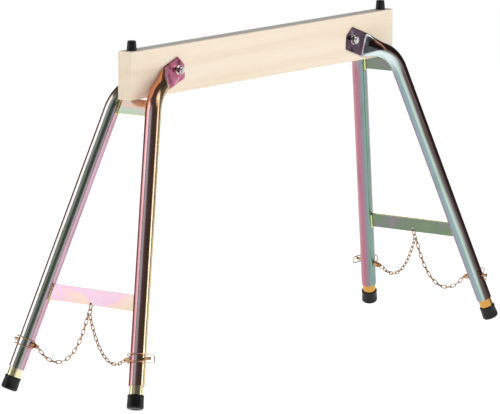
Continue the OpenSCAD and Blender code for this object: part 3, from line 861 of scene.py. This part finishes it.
footShape = makeFoot()
for side, row in corners:
    piece = copyOf(footShape, f"{side}{row.title()}RubberFoot")
    settle(piece, toCorner(side, row) @ alongLeg)
    give(piece, rubber)
    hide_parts(f"{side}_{row}_foot")
    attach(piece, f"{side}_{row}_extension")
bpy.data.objects.remove(footShape)
print("rubber made")

# ---- Pivot bolts with their washers and nuts

pivotSet = {"bolt": 0.006, "thread": 0.00045, "pitch": 0.00175, "end": 0.003, "flats": 0.019,
            "nut": 0.010, "head": 0.0075, "washer": 0.012, "washerThick": 0.0025, "washerEdge": 0.0004,
            "rimShare": 0.93, "rimSlope": 0.55, "countersink": 0.0009, "boreGap": 0.00005,
            "washerGap": 0.0003, "overlap": 0.0001}
faceOfWasher = plateY + steel["plateThick"] / 2 + steel["faceGap"] + pivotSet["washerThick"]


def makeHexagon(name, high):  # six flats with both rims turned off
    outer = pivotSet["flats"] / 2
    corner = outer / math.cos(math.pi / 6)
    bpy.ops.mesh.primitive_cylinder_add(vertices=6, radius=corner, depth=high, location=(0, 0, high / 2))
    hexagon = begin(name)
    rimRadius = outer * pivotSet["rimShare"]
    rimDepth = (corner - rimRadius) * pivotSet["rimSlope"]
    rim = [(rimRadius, 0.0), (corner, rimDepth), (corner, high - rimDepth), (rimRadius, high)]
    cutWith(hexagon, turned("rim", rim, 48, True), "INTERSECT")
    return hexagon


def makeNut():
    nut = makeHexagon("nut", pivotSet["nut"])
    bore = pivotSet["bolt"] + pivotSet["boreGap"]
    mouth = bore + pivotSet["countersink"]
    high = pivotSet["nut"]
    over = pivotSet["overlap"]
    deep = pivotSet["countersink"] - over
    profile = [(mouth, -over), (bore, deep), (bore, high - deep), (mouth, high + over)]
    cutWith(nut, turned("bore", profile, 48, True))
    smooth(nut, 20)
    return nut


def makeBolt():  # the thread shows only past the nut
    bolt = pivotSet["bolt"]
    top = faceOfWasher + pivotSet["nut"] + pivotSet["end"]
    profile = [(bolt, -faceOfWasher)]
    height = faceOfWasher + 0.001
    while height < top - 0.0016:
        profile += [(bolt, height), (bolt - pivotSet["thread"], height + pivotSet["pitch"] / 2)]
        height += pivotSet["pitch"]
    profile += [(bolt, top - 0.0012), (bolt - 0.0010, top)]
    shank = turned("pivotBolt", profile, 48, True)
    head = makeHexagon("head", pivotSet["head"])
    settle(head, Matrix.Translation((0, 0, -faceOfWasher - pivotSet["head"])))
    takeUp(shank)
    head.select_set(True)
    bpy.ops.object.join()
    smooth(shank, 20)
    return shank


def makeWasher():
    edge = pivotSet["washerEdge"]
    outer = pivotSet["washer"]
    bore = pivotSet["bolt"] + pivotSet["washerGap"]
    thick = pivotSet["washerThick"]
    washer = turned("washer", [(outer - edge, 0.0), (outer, edge), (outer, thick - edge),
                               (outer - edge, thick)], 64, True)
    cutWith(washer, roundBar(bore, 0.01, nowhere, 48))
    smooth(washer, 20)
    return washer


towardsNut = Matrix.Rotation(math.pi / 2, 4, "X")  # its Z is off the front face of the beam
boltShape = makeBolt()
nutShape = makeNut()
washerShape = makeWasher()
fasteners = {
    "pivot_bolts": [(boltShape, 0.0)],
    "pivot_nuts": [(nutShape, faceOfWasher)],
    "pivot_washers": [(washerShape, faceOfWasher - pivotSet["washerThick"]),
                      (washerShape, -faceOfWasher)],
}
for name, entries in fasteners.items():
    first = True
    for shape, height in entries:
        for way, side in ((-1, "left"), (1, "right")):
            face = "Front" if height > 0 else "Back"
            piece = copyOf(shape, f"{side}{shape.name.title()}{face}")
            turnBy = Matrix.Rotation(math.radians(11 + 17 * way), 4, "Z")
            settle(piece, Matrix.Translation((way * pivot.x, 0, pivot.z)) @ towardsNut
                   @ Matrix.Translation((0, 0, height)) @ turnBy)
            give(piece, boltZinc)
            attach(piece, "beam_set")
            if first:
                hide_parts(name)
                first = False
for shape in (boltShape, nutShape, washerShape):
    bpy.data.objects.remove(shape)
print("pivots made")

# ---- Chains, which hang on the crossbar's link

for side, row in corners:
    corner = f"{side}_{row}"
    chain = copyOf(nodes[f"{corner}_chain"], f"{side}{row.title()}HangingChain")
    chain.parent = None
    chain.matrix_world = nowhere
    takeUp(chain)
    bpy.ops.object.mode_set(mode="EDIT")
    mergeAndTurnOut()
    bpy.ops.object.mode_set(mode="OBJECT")
    smooth(chain, 40)
    give(chain, copperZinc)
    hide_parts(f"{corner}_chain")
    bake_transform(chain)
print("chains made")

# ---- Materials of the pieces that the frame keeps

give(nodes["beam"], spruce)
give(nodes["stop_screws"], boltZinc)
for side, row in corners:
    innerZinc = creamZinc if side == "left" else goldZinc
    give(nodes[f"{side}_{row}_inner_tube"], innerZinc)
    for part in ("pin", "pin_ring", "bail"):
        give(nodes[f"{side}_{row}_{part}"], copperZinc)
for side in ("left", "right"):
    give(nodes[f"{side}_eye_link"], copperZinc)
for piece in nodes.values():
    if not piece.hide_render:
        smooth(piece, 30)
print("finishes given")
